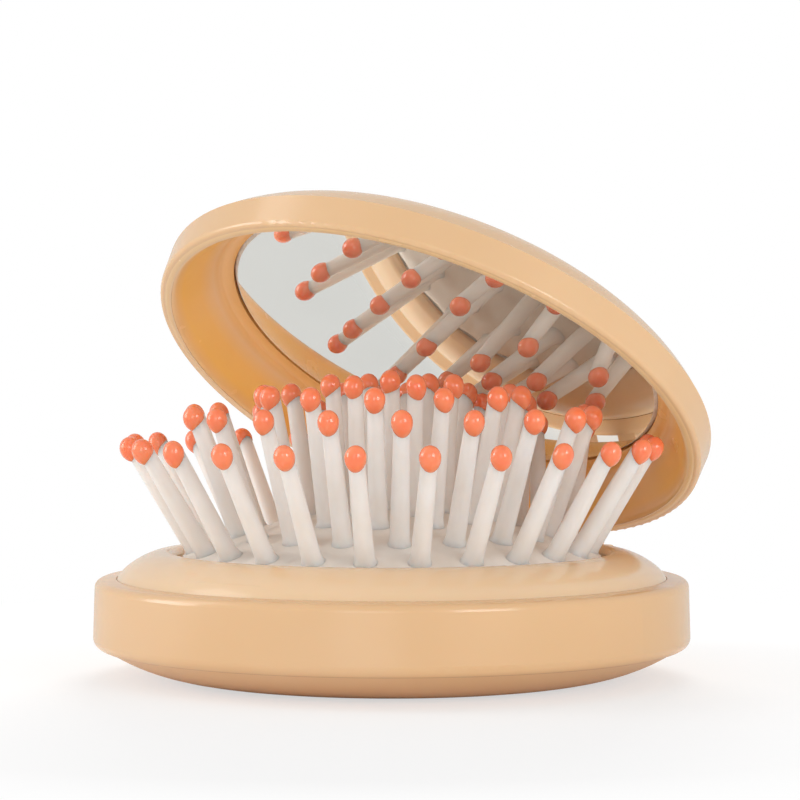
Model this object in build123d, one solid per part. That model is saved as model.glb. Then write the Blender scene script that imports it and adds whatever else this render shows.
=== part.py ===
from build123d import *
from math import atan2, cos, degrees, radians, sin, sqrt
import os

# Folding hairbrush with mirror, in millimetres.
# The foot's flat face is at z = 0, the body's axis is Z, and the hinge is at the back, +Y.

# ---- driving dimensions ----
body_radius = 42.0          # outside of the base's band
open_angle = 33.8           # lid as stored, resting just over the bristles
seam_gap = 0.3              # between the base's rim and the lid's lip when shut

# base shell
foot_flat_radius = 26.0     # flat middle of the underside
foot_rise = 4.2             # domed underside below the band
foot_inset = 1.7            # band's wall to the start of the dome
base_band = 9.5             # height of the upright band
band_draft = 0.3            # the band narrows this much towards the seam
base_wall = 1.6
rim_land = 3.3              # top of the band, outside the bezel
rim_crown = 0.15            # the land rises towards the bezel
base_corner = 1.5           # rounded lower corner of the band
rim_corner = 1.1            # rounded upper corner of the band
bezel_seat_depth = 5.9      # the bezel's skirt stands on a step this far below the rim

# bezel ring
bezel_width = 8.1           # from the skirt to the opening
bezel_rise = 3.9            # top of the ring above the rim
bezel_wall = 1.5
bezel_lip = 1.55            # thickness of the inner lip
bezel_fit = 0.1             # gap between bezel skirt and base shell
shoulder_foot_in = 2.1      # the ring's shoulder passes this far in from the skirt
shoulder_foot_drop = 1.6    # and this far below the top
shoulder_head_in = 4.4
shoulder_head_drop = 0.42
shoulder_lean = 0.55        # leans this far in for 1 up where it leaves the skirt
crest_width = 1.3           # from the crest to the opening
crest_round = 0.9
sleeve_corner_drop = 0.2    # outer corner of the sleeve below the lip's underside
sleeve_wall = 1.2           # inner sleeve that guides the carrier
sleeve_floor_gap = 0.6      # sleeve's lower end to the underside dome

# carrier and its guides
slide_fit = 0.1             # carrier's edge in the sleeve
carrier_overlap = 2.2       # carrier reaches this far under the bezel's lip
carrier_thickness = 1.4
retainer_thickness = 0.8
retainer_width = 2.3
retainer_leg = 0.7
stop_gap = 0.3              # retainer to the bezel's lip
key_count = 3
key_start = 60.0            # first key's turn from the front
key_width = 4.0
key_reach = 1.1
key_fit = 0.15
vent_radius = 2.5

# springs
spring_count = 3
spring_start = 60.0         # first spring's turn from the front
spring_circle_radius = 17.0
spring_wire_radius = 0.3
spring_foot_radius = 5.0
spring_head_radius = 2.6
spring_turns = 5
spring_play = 0.03
spring_cup_height = 0.8
spring_cup_wall = 0.8
spring_stud_height = 0.6
spring_stud_gap = 0.3       # stud in the spring's top turn

# cushion pad
pad_gap = 0.6               # pad's edge to the bezel's opening
pad_edge_height = 2.9       # pad's edge above the rim
pad_rise = 6.5              # crown above the edge
pad_thickness = 1.3
pad_flange_thickness = 0.8
pad_flange_width = 2.0
pad_edge_round = 0.6

# bristles
pin_root_radius = 1.0
pin_head_radius = 1.6
pin_head_thickness = 0.5
pin_head_gap = 0.15         # head below the pad's underside
pin_foot_radius = 1.95
pin_flare_height = 1.6
flare_hollow = 0.1          # the flare's side is hollowed this much
flare_hollow_share = 0.3    # at this share of its height
flare_foot_lean = 0.3       # leans this far in for 1 up
flare_top_lean = 0.03
pin_low_radius = 1.35
pin_top_radius = 1.1
pin_sink = 0.35             # the flared foot sits this far into the pad
tip_radius = 1.45
tip_below = 1.9             # tip's lower edge below its centre
tip_above = 1.8
tip_skirt_lean = 0.45       # leans this far out for 1 up at its lower edge
tip_mirror_gap = 0.4        # tips near the hinge stay this far under the mirror
lean_step = 0.5
least_lean = -20.0

ring_margin = 2.4           # outer ring to the pad's edge
ring_step = 5.7             # outer ring to the second; the rest share what is left evenly
outer_count = 24
second_count = 18
third_count = 12
inner_count = 6
outer_lean = 31.5
second_lean = 20.0
third_lean = 11.0
inner_lean = 3.7
outer_length = 17.2         # foot to the tip's centre
second_length = 17.9
third_length = 18.0
inner_length = 18.1
centre_length = 18.3

# lid
lid_inset = 0.9             # the lid's band lies inside the base's
lid_band = 4.8
lid_dome_rise = 6.9
lid_flat_radius = 26.0
lid_dome_inset = 0.35
lid_wall = 1.3
lid_lip_width = 2.1
lip_corner = 0.6
lid_crease = 0.35
frame_fit = 0.1
frame_start = 0.3           # frame's edge above the lip's face
frame_floor_depth = 7.0
frame_floor_width = 0.9
frame_bend_in = 2.3         # the tapered wall passes this far in from its edge
frame_bend_up = 2.8
frame_back_in = 1.7         # and its back this far in
frame_back_up = 3.8
frame_edge = 0.9            # wall's thickness at its edge
frame_edge_lean = 0.45      # leans this far in for 1 up at its edge
frame_floor_rise = 0.85     # rises this far for 1 in where it meets the floor
frame_shoulder = 0.6        # back of the floor, beyond its face
holder_margin = 1.0         # keeper's holder, in from the frame's edge
mirror_inset = 6.7          # mirror's edge to the lip's inner edge
mirror_depth = 7.75         # mirror's face above the lip's plane
mirror_thickness = 0.9
mirror_edge_cut = 0.25
mirror_gap = 0.75
adhesive_inset = 7.3        # adhesive's edge to the mirror's edge

# closing catch
magnet_length = 10.0
magnet_width = 2.0
magnet_height = 4.0
catch_fit = 0.05
magnet_rise = 0.9           # magnet's top above the base's rim
keeper_length = 10.0
keeper_width = 0.6
keeper_height = 2.0
keeper_tilt = 48.0          # steel strip lies along the frame's slope
keeper_inset = 2.55         # its middle, in from the lip's inner edge
keeper_depth = 1.05         # its middle, below the lid's inner face
holder_wall = 1.5
holder_bite = 0.3           # magnet's holder runs this far into the skirt

# hinge: two pins in a pair of links
hinge_reach = 5.0           # base's pin beyond the band
link_length = 4.0           # lid's pin above the base's pin when shut
knuckle_radius = 1.9
lid_knuckle_length = 2.4    # in the middle, between the links
link_thickness = 1.2
base_knuckle_length = 3.2   # outside the links
knuckle_gap = 0.2
pin_radius = 0.8
pin_fit = 0.06
arm_thickness = 2.4
hinge_arm_bite = 1.2        # arms run this far into the wall they grow from

cut_margin = 1.0            # cutters run this far past the faces they open

# ---- derived places ----
rim_z = foot_rise + base_band
lip_z = rim_z + seam_gap
hinge_y = body_radius + hinge_reach
hinge_z = lip_z
lid_pin_z = hinge_z + link_length
link_x = lid_knuckle_length / 2 + knuckle_gap + link_thickness / 2
base_knuckle_x = link_x + (link_thickness + base_knuckle_length) / 2 + knuckle_gap
link_span = 2 * link_x + link_thickness
hinge_width = 2 * base_knuckle_x + base_knuckle_length
bezel_radius = body_radius - rim_land - bezel_fit
opening_radius = bezel_radius - bezel_width
lid_radius = body_radius - lid_inset
lip_inner_radius = lid_radius - lid_lip_width
mirror_radius = lip_inner_radius - mirror_inset
adhesive_radius = mirror_radius - adhesive_inset
seat_radius = body_radius - rim_land
seat_z = rim_z - bezel_seat_depth
skirt_inner_radius = bezel_radius - bezel_wall
lip_under_z = rim_z + bezel_rise - bezel_lip
sleeve_radius = opening_radius + carrier_overlap + slide_fit
carrier_radius = sleeve_radius - slide_fit
retainer_top = lip_under_z - stop_gap
flange_top = retainer_top - retainer_thickness
carrier_top = flange_top - pad_flange_thickness
carrier_bottom = carrier_top - carrier_thickness
pad_radius = opening_radius - pad_gap
pad_edge_z = rim_z + pad_edge_height
pad_sphere = (pad_radius**2 + pad_rise**2) / (2 * pad_rise)
pad_top_z = pad_edge_z + pad_rise
outer_ring = pad_radius - ring_margin
second_ring = outer_ring - ring_step
third_ring = second_ring * 2 / 3
inner_ring = second_ring / 3
foot_edge_radius = body_radius - foot_inset
hinge_axis = Axis((0, hinge_y, hinge_z), (-1, 0, 0))


def at(radius, height):
    """A point in the XZ plane."""
    return (radius, 0, height)


def revolved(*edges):
    """Solid of revolution about Z from edges that close an outline in the XZ plane."""
    return revolve(make_face(Wire(list(edges))), Axis.Z)


def turned(*points):
    """Solid of revolution about Z from straight runs between (radius, height) points."""
    return revolved(*Polyline([at(r, z) for r, z in points], close=True).edges())


def tube(inner, outer, low, high):
    """Ring between two radii and two heights."""
    return turned((inner, low), (outer, low), (outer, high), (inner, high))


def dome_arc_radius(flat_radius, edge_radius, rise):
    """Radius of the arc that leaves the flat middle tangentially and drops rise at the edge."""
    return ((edge_radius - flat_radius) ** 2 + rise**2) / (2 * rise)


def arc_drop(arc_radius, run):
    """How far an arc has fallen, run away from where it was level."""
    return arc_radius - sqrt(arc_radius**2 - run**2)


def dome_edge(flat_radius, level_z, arc_radius, end_radius, up):
    """Arc from the flat middle's edge to end_radius; up is +1 if it rises outwards, else -1."""
    middle = (flat_radius + end_radius) / 2
    return ThreePointArc(
        at(flat_radius, level_z),
        at(middle, level_z + up * arc_drop(arc_radius, middle - flat_radius)),
        at(end_radius, level_z + up * arc_drop(arc_radius, end_radius - flat_radius)),
    )


def circle_edges(solid, radius, height, reach=0.2):
    """Round edges of a turned solid that lie at a radius and height."""
    found = []
    for edge in solid.edges().filter_by(GeomType.CIRCLE):
        middle = edge.position_at(0.5)
        away = abs((middle.X**2 + middle.Y**2) ** 0.5 - radius)
        if away < reach and abs(middle.Z - height) < reach:
            found.append(edge)
    return found


def around(solid, count, start=0.0):
    """Copies of a solid, evenly spaced about Z."""
    return [Rot(0, 0, start + 360 * k / count) * solid for k in range(count)]


# ---- base ----
foot_arc = dome_arc_radius(foot_flat_radius, foot_edge_radius, foot_rise)


def foot_inside_z(radius):
    """Height of the base shell's inner floor at a radius."""
    run = max(0.0, radius - foot_flat_radius)
    return base_wall + arc_drop(foot_arc - base_wall, run)


def cross_rod(radius, length, height, centre_x=0.0):
    """Round bar along X, above or on the base's hinge pin."""
    return Pos(centre_x, hinge_y, height) * Rot(0, 90, 0) * Cylinder(radius, length)


def hinge_arm(length, centre_x, pin_z, low, band_radius):
    """Knuckle round a pin with the arm that joins it to a band; low is the arm's underside."""
    outer_x = abs(centre_x) + length / 2
    start_y = sqrt(band_radius**2 - outer_x**2) - hinge_arm_bite
    arm = Pos(centre_x, (start_y + hinge_y) / 2, low + arm_thickness / 2) * Box(
        length, hinge_y - start_y, arm_thickness
    )
    return cross_rod(knuckle_radius, length, pin_z, centre_x) + arm


def pin_bore(pin_z):
    """Running bore for a hinge pin, through all that the pin holds."""
    return cross_rod(pin_radius + pin_fit, hinge_width + 2 * knuckle_gap, pin_z)


def make_base_shell():
    """Tub with a domed underside, an upright band, the bezel's seat and two hinge knuckles."""
    top_radius = body_radius - band_draft
    outline = [
        Line(at(0, 0), at(foot_flat_radius, 0)),
        dome_edge(foot_flat_radius, 0, foot_arc, foot_edge_radius, 1),
        Polyline(
            at(foot_edge_radius, foot_rise),
            at(body_radius, foot_rise),
            at(top_radius, rim_z),
            at(seat_radius, rim_z + rim_crown),
            at(seat_radius, seat_z),
            at(skirt_inner_radius, seat_z),
            at(skirt_inner_radius, foot_inside_z(skirt_inner_radius)),
        ),
        dome_edge(foot_flat_radius, base_wall, foot_arc - base_wall, skirt_inner_radius, 1),
        Polyline(at(foot_flat_radius, base_wall), at(0, base_wall), at(0, 0)),
    ]
    shell = revolve(make_face(Wire([e for part in outline for e in part.edges()])), Axis.Z)
    shell = fillet(circle_edges(shell, body_radius, foot_rise), base_corner)
    shell = fillet(circle_edges(shell, top_radius, rim_z), rim_corner)
    arm_low = rim_z - knuckle_gap - arm_thickness
    for side in (-1, 1):
        shell += hinge_arm(
            base_knuckle_length, side * base_knuckle_x, hinge_z, arm_low, body_radius
        )
    shell -= Cylinder(seat_radius, body_radius, align=(Align.CENTER, Align.CENTER, Align.MIN)).moved(
        Location((0, 0, seat_z))
    )
    shell -= pin_bore(hinge_z)
    cup_outer = spring_foot_radius + spring_wire_radius + spring_play + spring_cup_wall
    cup = tube(cup_outer - spring_cup_wall, cup_outer, base_wall, base_wall + spring_cup_height)
    for k in range(spring_count):
        shell += Rot(0, 0, spring_angle(k)) * Pos(0, -spring_circle_radius, 0) * cup
    return shell


def spring_angle(k):
    """Turn of spring k about Z."""
    return 360 * k / spring_count + spring_start


def make_bezel_ring():
    """Raised ring round the opening, with the outer skirt and the inner guide sleeve."""
    top = rim_z + bezel_rise
    crest_radius = opening_radius + crest_width
    shoulder = Spline(
        at(bezel_radius, rim_z + rim_crown),
        at(bezel_radius - shoulder_foot_in, top - shoulder_foot_drop),
        at(bezel_radius - shoulder_head_in, top - shoulder_head_drop),
        at(crest_radius, top),
        tangents=[(-shoulder_lean, 0, 1), (-1, 0, 0)],
    )
    sleeve_outer = sleeve_radius + sleeve_wall
    sleeve_low = foot_inside_z(sleeve_outer) + sleeve_floor_gap
    outline = [
        shoulder,
        ThreePointArc(
            at(crest_radius, top),
            at(opening_radius + crest_width / 4, top - crest_round / 3),
            at(opening_radius, top - crest_round),
        ),
        Polyline(
            at(opening_radius, top - crest_round),
            at(opening_radius, lip_under_z),
            at(sleeve_radius, lip_under_z),
            at(sleeve_radius, sleeve_low),
            at(sleeve_outer, sleeve_low),
            at(sleeve_outer, lip_under_z - sleeve_corner_drop),
            at(bezel_radius - shoulder_foot_in, top - shoulder_foot_drop - bezel_wall),
            at(skirt_inner_radius, rim_z - bezel_wall / 3),
            at(skirt_inner_radius, seat_z),
            at(bezel_radius, seat_z),
            at(bezel_radius, rim_z + rim_crown),
        ),
    ]
    ring = revolve(make_face(Wire([e for part in outline for e in part.edges()])), Axis.Z)
    slot_top = carrier_top + key_fit
    slot_low = sleeve_low - cut_margin
    slot = Pos(0, -(sleeve_radius + sleeve_wall / 2), (slot_low + slot_top) / 2) * Box(
        key_width + 2 * key_fit, sleeve_wall + cut_margin, slot_top - slot_low
    )
    for cut in around(slot, key_count, key_start):
        ring -= cut
    return ring + magnet_holder() - magnet_block(catch_fit)


magnet_y = -(sleeve_radius + sleeve_wall + skirt_inner_radius) / 2
magnet_top = rim_z + magnet_rise


def magnet_holder():
    """Block between the sleeve and the skirt at the front, which carries the magnet."""
    low = magnet_top - magnet_height
    block = Pos(0, magnet_y, low + magnet_height) * Box(
        magnet_length + 2 * holder_wall, 2 * magnet_height, 2 * magnet_height
    )
    inner = sleeve_radius + sleeve_wall / 2
    outer = skirt_inner_radius + holder_bite
    return block & tube(inner, outer, low, magnet_top + bezel_wall / 2)


def magnet_block(extra=0.0):
    """Bar magnet, or with extra its pocket, which is open below."""
    low = magnet_top - magnet_height
    drop = cut_margin if extra else 0.0
    return Pos(0, magnet_y, (low - drop + magnet_top) / 2) * Box(
        magnet_length + 2 * extra, magnet_width + 2 * extra, magnet_height + drop
    )


def make_springs():
    """Cone springs between the floor and the carrier, which close flat."""
    low = base_wall + spring_wire_radius + spring_play
    height = carrier_bottom - spring_wire_radius - spring_play - low
    cone = -degrees(atan2(spring_foot_radius - spring_head_radius, height))
    path = Helix(height / spring_turns, height, spring_foot_radius, cone_angle=cone)
    section = Plane(origin=path @ 0, z_dir=path % 0) * Circle(spring_wire_radius)
    wire = Pos(0, 0, low) * sweep(section, path=path, is_frenet=True)
    return [
        Rot(0, 0, spring_angle(k)) * Pos(0, -spring_circle_radius, 0) * wire
        for k in range(spring_count)
    ]


# ---- bristle bed ----
def make_carrier_plate():
    """Disc that carries the pad, with keys in the sleeve's slots and studs inside the springs."""
    plate = tube(vent_radius, carrier_radius, carrier_bottom, carrier_top)
    key = Pos(0, -carrier_radius, (carrier_bottom + carrier_top) / 2) * Box(
        key_width, 2 * key_reach, carrier_thickness
    )
    for piece in around(key, key_count, key_start):
        plate += piece
    stud_radius = spring_head_radius - spring_wire_radius - spring_stud_gap
    stud = Cylinder(stud_radius, spring_stud_height, align=(Align.CENTER, Align.CENTER, Align.MAX))
    for k in range(spring_count):
        place = Rot(0, 0, spring_angle(k)) * Pos(0, -spring_circle_radius, carrier_bottom)
        plate += place * stud
    return plate


def make_pad_retainer():
    """Ring that clamps the pad's flange down on the carrier plate."""
    inner = carrier_radius - retainer_width
    return turned(
        (inner, flange_top),
        (carrier_radius - retainer_leg, flange_top),
        (carrier_radius - retainer_leg, carrier_top),
        (carrier_radius, carrier_top),
        (carrier_radius, retainer_top),
        (inner, retainer_top),
    )


def pad_height(radius):
    """Height of the pad's crown at a radius."""
    return pad_top_z - arc_drop(pad_sphere, radius)


def make_pad_blank():
    """Domed diaphragm with an upright edge and an outward flange, before the pin holes."""
    inner_radius = pad_radius - pad_thickness
    inner_sphere = pad_sphere - pad_thickness
    under_z = pad_top_z - pad_thickness
    flange_radius = pad_radius + pad_flange_width
    half = pad_radius / 2
    outline = [
        ThreePointArc(at(0, pad_top_z), at(half, pad_height(half)), at(pad_radius, pad_edge_z)),
        Polyline(
            at(pad_radius, pad_edge_z),
            at(pad_radius, flange_top),
            at(flange_radius, flange_top),
            at(flange_radius, carrier_top),
            at(inner_radius, carrier_top),
            at(inner_radius, under_z - arc_drop(inner_sphere, inner_radius)),
        ),
        ThreePointArc(
            at(inner_radius, under_z - arc_drop(inner_sphere, inner_radius)),
            at(inner_radius / 2, under_z - arc_drop(inner_sphere, inner_radius / 2)),
            at(0, under_z),
        ),
        Line(at(0, under_z), at(0, pad_top_z)),
    ]
    blank = revolve(make_face(Wire([e for part in outline for e in part.edges()])), Axis.Z)
    return fillet(circle_edges(blank, pad_radius, pad_edge_z), pad_edge_round)


def pin_solid(length):
    """One pin along +Z with its foot at the origin: head, root, flared foot and tapered shaft."""
    root_end = -pad_thickness - pin_head_gap
    head_end = root_end - pin_head_thickness
    top = length - tip_below
    flare_middle = (pin_foot_radius + pin_low_radius) / 2
    return revolved(
        *Polyline(
            at(0, head_end),
            at(pin_head_radius, head_end),
            at(pin_head_radius, root_end),
            at(pin_root_radius, root_end),
            at(pin_root_radius, -pin_sink),
            at(pin_foot_radius, -pin_sink),
        ).edges(),
        Spline(
            at(pin_foot_radius, -pin_sink),
            at(flare_middle - flare_hollow, pin_flare_height * flare_hollow_share),
            at(pin_low_radius, pin_flare_height),
            tangents=[(-flare_foot_lean, 0, 1), (-flare_top_lean, 0, 1)],
        ),
        *Polyline(
            at(pin_low_radius, pin_flare_height),
            at(pin_top_radius, top),
            at(0, top),
            at(0, head_end),
        ).edges(),
    )


def tip_solid(length):
    """Drop-shaped ball on the end of a pin of this length."""
    low = length - tip_below
    return revolved(
        Line(at(0, low), at(pin_top_radius, low)),
        Spline(
            at(pin_top_radius, low),
            at(tip_radius, length),
            at(0, length + tip_above),
            tangents=[(tip_skirt_lean, 0, 1), (-1, 0, 0)],
        ),
        Line(at(0, length + tip_above), at(0, low)),
    )


def mirror_clearance(y, z):
    """Distance from a point to the open mirror's face, above 0 in front of the glass."""
    away_y = y - hinge_y
    away_z = z - hinge_z
    angle = radians(open_angle)
    return mirror_depth - (away_y * sin(angle) + away_z * cos(angle))


def allowed_lean(turn, radius, lean, length):
    """A pin's lean, brought in near the hinge until its tip lies clear of the open mirror."""
    while True:
        out = radius + length * sin(radians(lean))
        tip_z = pad_height(radius) + length * cos(radians(lean))
        tip_y = -out * cos(radians(turn))
        if mirror_clearance(tip_y, tip_z) >= tip_above + tip_mirror_gap or lean < least_lean:
            return lean
        lean -= lean_step


def pin_places(count, radius, lean, length):
    """Locations of a ring's pins, foot on the pad and axis leaning outwards."""
    places = []
    for k in range(count):
        turn = 360 * k / count
        tilt = allowed_lean(turn, radius, lean, length)
        foot = Pos(0, -radius, pad_height(radius))
        places.append(Rot(0, 0, turn) * foot * Rot(tilt, 0, 0))
    return places


# ---- lid, modelled shut and then opened ----
lid_arc = dome_arc_radius(lid_flat_radius, lid_radius - lid_dome_inset, lid_dome_rise)
lid_top_z = lip_z + lid_band + lid_dome_rise


def lid_inside_z(radius):
    """Height of the lid shell's inner ceiling at a radius, lid shut."""
    run = max(0.0, radius - lid_flat_radius)
    return lid_top_z - lid_wall - arc_drop(lid_arc - lid_wall, run)


def make_lid_shell():
    """Round cap with an upright band, a crease, a domed back and a hinge knuckle."""
    dome_radius = lid_radius - lid_dome_inset
    lip_outer = lid_radius - band_draft
    outline = [
        Line(at(0, lid_top_z), at(lid_flat_radius, lid_top_z)),
        dome_edge(lid_flat_radius, lid_top_z, lid_arc, dome_radius, -1),
        Polyline(
            at(dome_radius, lip_z + lid_band),
            at(lid_radius, lip_z + lid_band - lid_crease),
            at(lip_outer, lip_z),
            at(lip_inner_radius, lip_z),
            at(lip_inner_radius, lid_inside_z(lip_inner_radius)),
        ),
        dome_edge(
            lid_flat_radius, lid_top_z - lid_wall, lid_arc - lid_wall, lip_inner_radius, -1
        ),
        Polyline(
            at(lid_flat_radius, lid_top_z - lid_wall),
            at(0, lid_top_z - lid_wall),
            at(0, lid_top_z),
        ),
    ]
    shell = revolve(make_face(Wire([e for part in outline for e in part.edges()])), Axis.Z)
    shell = fillet(circle_edges(shell, lip_outer, lip_z), lip_corner)
    arm = hinge_arm(lid_knuckle_length, 0, lid_pin_z, lid_pin_z - knuckle_radius, lid_radius)
    shell += arm - Cylinder(lip_inner_radius, 4 * body_radius)
    return shell - pin_bore(lid_pin_z)


frame_floor_radius = mirror_radius + mirror_gap + frame_floor_width


def lid_keeper(extra=0.0):
    """Steel strip behind the frame at the front, or with extra its pocket, open to the shell."""
    reach = keeper_width if extra else 0.0
    strip = Pos(0, -reach / 2, 0) * Box(
        keeper_length + 2 * extra, keeper_width + 2 * extra + reach, keeper_height + 2 * extra
    )
    radius = lip_inner_radius - keeper_inset
    place = Pos(0, -radius, lid_inside_z(radius) - keeper_depth)
    return place * Rot(keeper_tilt - 90, 0, 0) * strip


def make_lid_frame():
    """Tapered inner wall of the lid, with the narrow floor, the recess and the keeper's holder."""
    edge_radius = lip_inner_radius - frame_fit
    start_z = lip_z + frame_start
    floor_z = lip_z + frame_floor_depth
    recess_radius = mirror_radius + mirror_gap
    back_radius = frame_floor_radius + frame_shoulder
    end_z = lid_inside_z(back_radius) - frame_fit
    bend = Spline(
        at(edge_radius, start_z),
        at(edge_radius - frame_bend_in, start_z + frame_bend_up),
        at(frame_floor_radius, floor_z),
        tangents=[(-frame_edge_lean, 0, 1), (-1, 0, frame_floor_rise)],
    )
    ring = revolved(
        bend,
        *Polyline(
            at(frame_floor_radius, floor_z),
            at(recess_radius, floor_z),
            at(recess_radius, end_z),
            at(back_radius, end_z),
            at(edge_radius - frame_back_in, start_z + frame_back_up),
            at(edge_radius, start_z + frame_edge),
            at(edge_radius, start_z),
        ).edges(),
    )
    outer = edge_radius - holder_margin
    slope = (frame_back_up - frame_edge) / frame_back_in
    wedge = turned(
        (back_radius, end_z),
        (outer, lid_inside_z(outer) - frame_fit),
        (outer, start_z + frame_edge + holder_margin * slope),
        (edge_radius - frame_back_in - frame_edge / 3, start_z + frame_back_up - frame_edge / 4),
    )
    slab = Pos(0, -body_radius, lip_z) * Box(
        keeper_length + 2 * holder_wall, 2 * frame_floor_radius, 4 * lid_band
    )
    return ring + (wedge & slab) - lid_keeper(catch_fit)


def make_mirror():
    """Round mirror glass with a fine ground edge."""
    low = lip_z + mirror_depth
    glass = tube(0, mirror_radius, low, low + mirror_thickness)
    return chamfer(circle_edges(glass, mirror_radius, low), mirror_edge_cut)


def make_mirror_adhesive():
    """Foam disc between the glass and the lid shell."""
    low = lip_z + mirror_depth + mirror_thickness
    return tube(0, adhesive_radius, low, lid_top_z - lid_wall)


def make_hinge_link(side):
    """Flat link with round ends that holds both pins, at the left (-1) or right (1)."""
    web = Pos(side * link_x, hinge_y, (hinge_z + lid_pin_z) / 2) * Box(
        link_thickness, 2 * knuckle_radius, link_length
    )
    ends = [
        cross_rod(knuckle_radius, link_thickness, pin_z, side * link_x)
        for pin_z in (hinge_z, lid_pin_z)
    ]
    return web + ends - pin_bore(hinge_z) - pin_bore(lid_pin_z)


def make_hinge_pin(length, pin_z):
    """Steel pin through both links and what they join."""
    return cross_rod(pin_radius, length, pin_z)


def opened(solid):
    """A piece of the lid or its links, turned on the base's pin from shut to its stored angle."""
    return solid.rotate(hinge_axis, open_angle)


def save(name, *solids):
    """Write one node; several solids go into one compound."""
    pieces = [piece for solid in solids for piece in solid.solids()]
    shape = pieces[0] if len(pieces) == 1 else Compound(children=pieces)
    export_step(shape, f"parts/{name}.step")


def main():
    """Build and write every node."""
    os.makedirs("parts", exist_ok=True)
    save("base_shell", make_base_shell())
    save("bezel_ring", make_bezel_ring())
    save("base_magnet", magnet_block())
    save("return_springs", *make_springs())
    save("carrier_plate", make_carrier_plate())
    save("pad_retainer", make_pad_retainer())
    pad = make_pad_blank()
    bristle_rings = [
        ("outer", outer_count, outer_ring, outer_lean, outer_length),
        ("second", second_count, second_ring, second_lean, second_length),
        ("third", third_count, third_ring, third_lean, third_length),
        ("inner", inner_count, inner_ring, inner_lean, inner_length),
        ("centre", 1, 0, 0, centre_length),
    ]
    for name, count, radius, lean, length in bristle_rings:
        places = pin_places(count, radius, lean, length)
        pins = [place * pin_solid(length) for place in places]
        tips = [place * tip_solid(length) for place in places]
        pad -= pins
        save(f"{name}_bristles", *pins)
        save(f"{name}_tips", *tips)
    save("cushion_pad", pad)
    save("base_hinge_pin", opened(make_hinge_pin(hinge_width, hinge_z)))
    save("lid_hinge_pin", opened(make_hinge_pin(link_span, lid_pin_z)))
    save("left_hinge_link", opened(make_hinge_link(-1)))
    save("right_hinge_link", opened(make_hinge_link(1)))
    save("lid_shell", opened(make_lid_shell()))
    save("lid_frame", opened(make_lid_frame()))
    save("mirror", opened(make_mirror()))
    save("mirror_adhesive", opened(make_mirror_adhesive()))
    save("lid_keeper", opened(lid_keeper()))


main()
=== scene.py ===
"""Looks of a folding hairbrush with a mirror in its lid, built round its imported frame.

Lengths in the classes are in millimetres, in the frame's axes, and become metres in mesh_object.
Angles are in degrees, but for the camera's, which are in radians.
"""

import logging
import math
import random
from dataclasses import dataclass, field
from enum import Enum
from typing import Iterable, Optional, Sequence

import bmesh
import bpy
from mathutils import Matrix, Vector


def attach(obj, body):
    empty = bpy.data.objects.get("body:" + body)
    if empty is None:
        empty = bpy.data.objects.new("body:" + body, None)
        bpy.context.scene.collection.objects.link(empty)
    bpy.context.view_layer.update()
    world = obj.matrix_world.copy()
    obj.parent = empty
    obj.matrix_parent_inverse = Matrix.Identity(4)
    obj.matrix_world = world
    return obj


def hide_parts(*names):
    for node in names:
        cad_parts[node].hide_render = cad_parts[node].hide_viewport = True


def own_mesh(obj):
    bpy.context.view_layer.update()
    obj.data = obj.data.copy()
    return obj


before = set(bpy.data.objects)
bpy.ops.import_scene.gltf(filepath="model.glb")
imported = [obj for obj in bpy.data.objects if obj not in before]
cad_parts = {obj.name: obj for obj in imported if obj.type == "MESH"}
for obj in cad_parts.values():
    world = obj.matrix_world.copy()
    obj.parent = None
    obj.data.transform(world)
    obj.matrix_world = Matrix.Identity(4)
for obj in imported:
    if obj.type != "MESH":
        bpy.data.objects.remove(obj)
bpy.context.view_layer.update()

log = logging.getLogger("hairbrush")

MM = 0.001
TURN = 2 * math.pi
# Span of a noise's output that nearly all of a surface falls in.
NOISE_LOW, NOISE_HIGH = 0.3, 0.7
# Patches of gloss across one patch of colour.
PATCHES_PER_MOTTLE = 4
# Points closer than this become one, and edges shorter than this go, in millimetres.
WELD = 1e-5
SLIVER = 1e-6
Point = tuple[float, float]
Point3 = tuple[float, float, float]


# ---------------------------------------------------------------- colour and nodes
def to_linear(code: str) -> tuple[float, float, float, float]:
    """Turns an sRGB hex value into the linear colour that Blender's sockets take.

    Args:
        code: Six hex digits, with or without a leading hash.

    Returns:
        Linear red, green and blue, with an alpha of 1.
    """
    digits = code.lstrip("#")
    parts = [int(digits[i : i + 2], 16) / 255 for i in (0, 2, 4)]
    red, green, blue = (
        part / 12.92 if part <= 0.04045 else ((part + 0.055) / 1.055) ** 2.4 for part in parts
    )
    return (red, green, blue, 1.0)


def add_node(
    tree: bpy.types.NodeTree,
    kind: str,
    inputs: Optional[dict[str | int, object]] = None,
    **settings: object,
) -> bpy.types.Node:
    """Adds a node with its settings, and its inputs' values or links.

    Args:
        tree: The node tree that gets the node.
        kind: The node's type, such as ShaderNodeTexNoise.
        inputs: Input name or index, with a value or an output socket to link from.
        **settings: Attributes set on the node.

    Returns:
        The new node.
    """
    made = tree.nodes.new(kind)
    for name, value in settings.items():
        setattr(made, name, value)
    for name, value in (inputs or {}).items():
        if isinstance(value, bpy.types.NodeSocket):
            tree.links.new(value, made.inputs[name])
        else:
            made.inputs[name].default_value = value
    return made


def combined(
    tree: bpy.types.NodeTree,
    operation: str,
    first: bpy.types.NodeSocket,
    second: float | bpy.types.NodeSocket,
) -> bpy.types.NodeSocket:
    """Works out one number from two."""
    return add_node(tree, "ShaderNodeMath", {0: first, 1: second}, operation=operation).outputs[0]


def per_metre(size_mm: float) -> float:
    """Noise scale that gives features of this size in millimetres on Object coordinates."""
    return 1 / (size_mm * MM)


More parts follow.
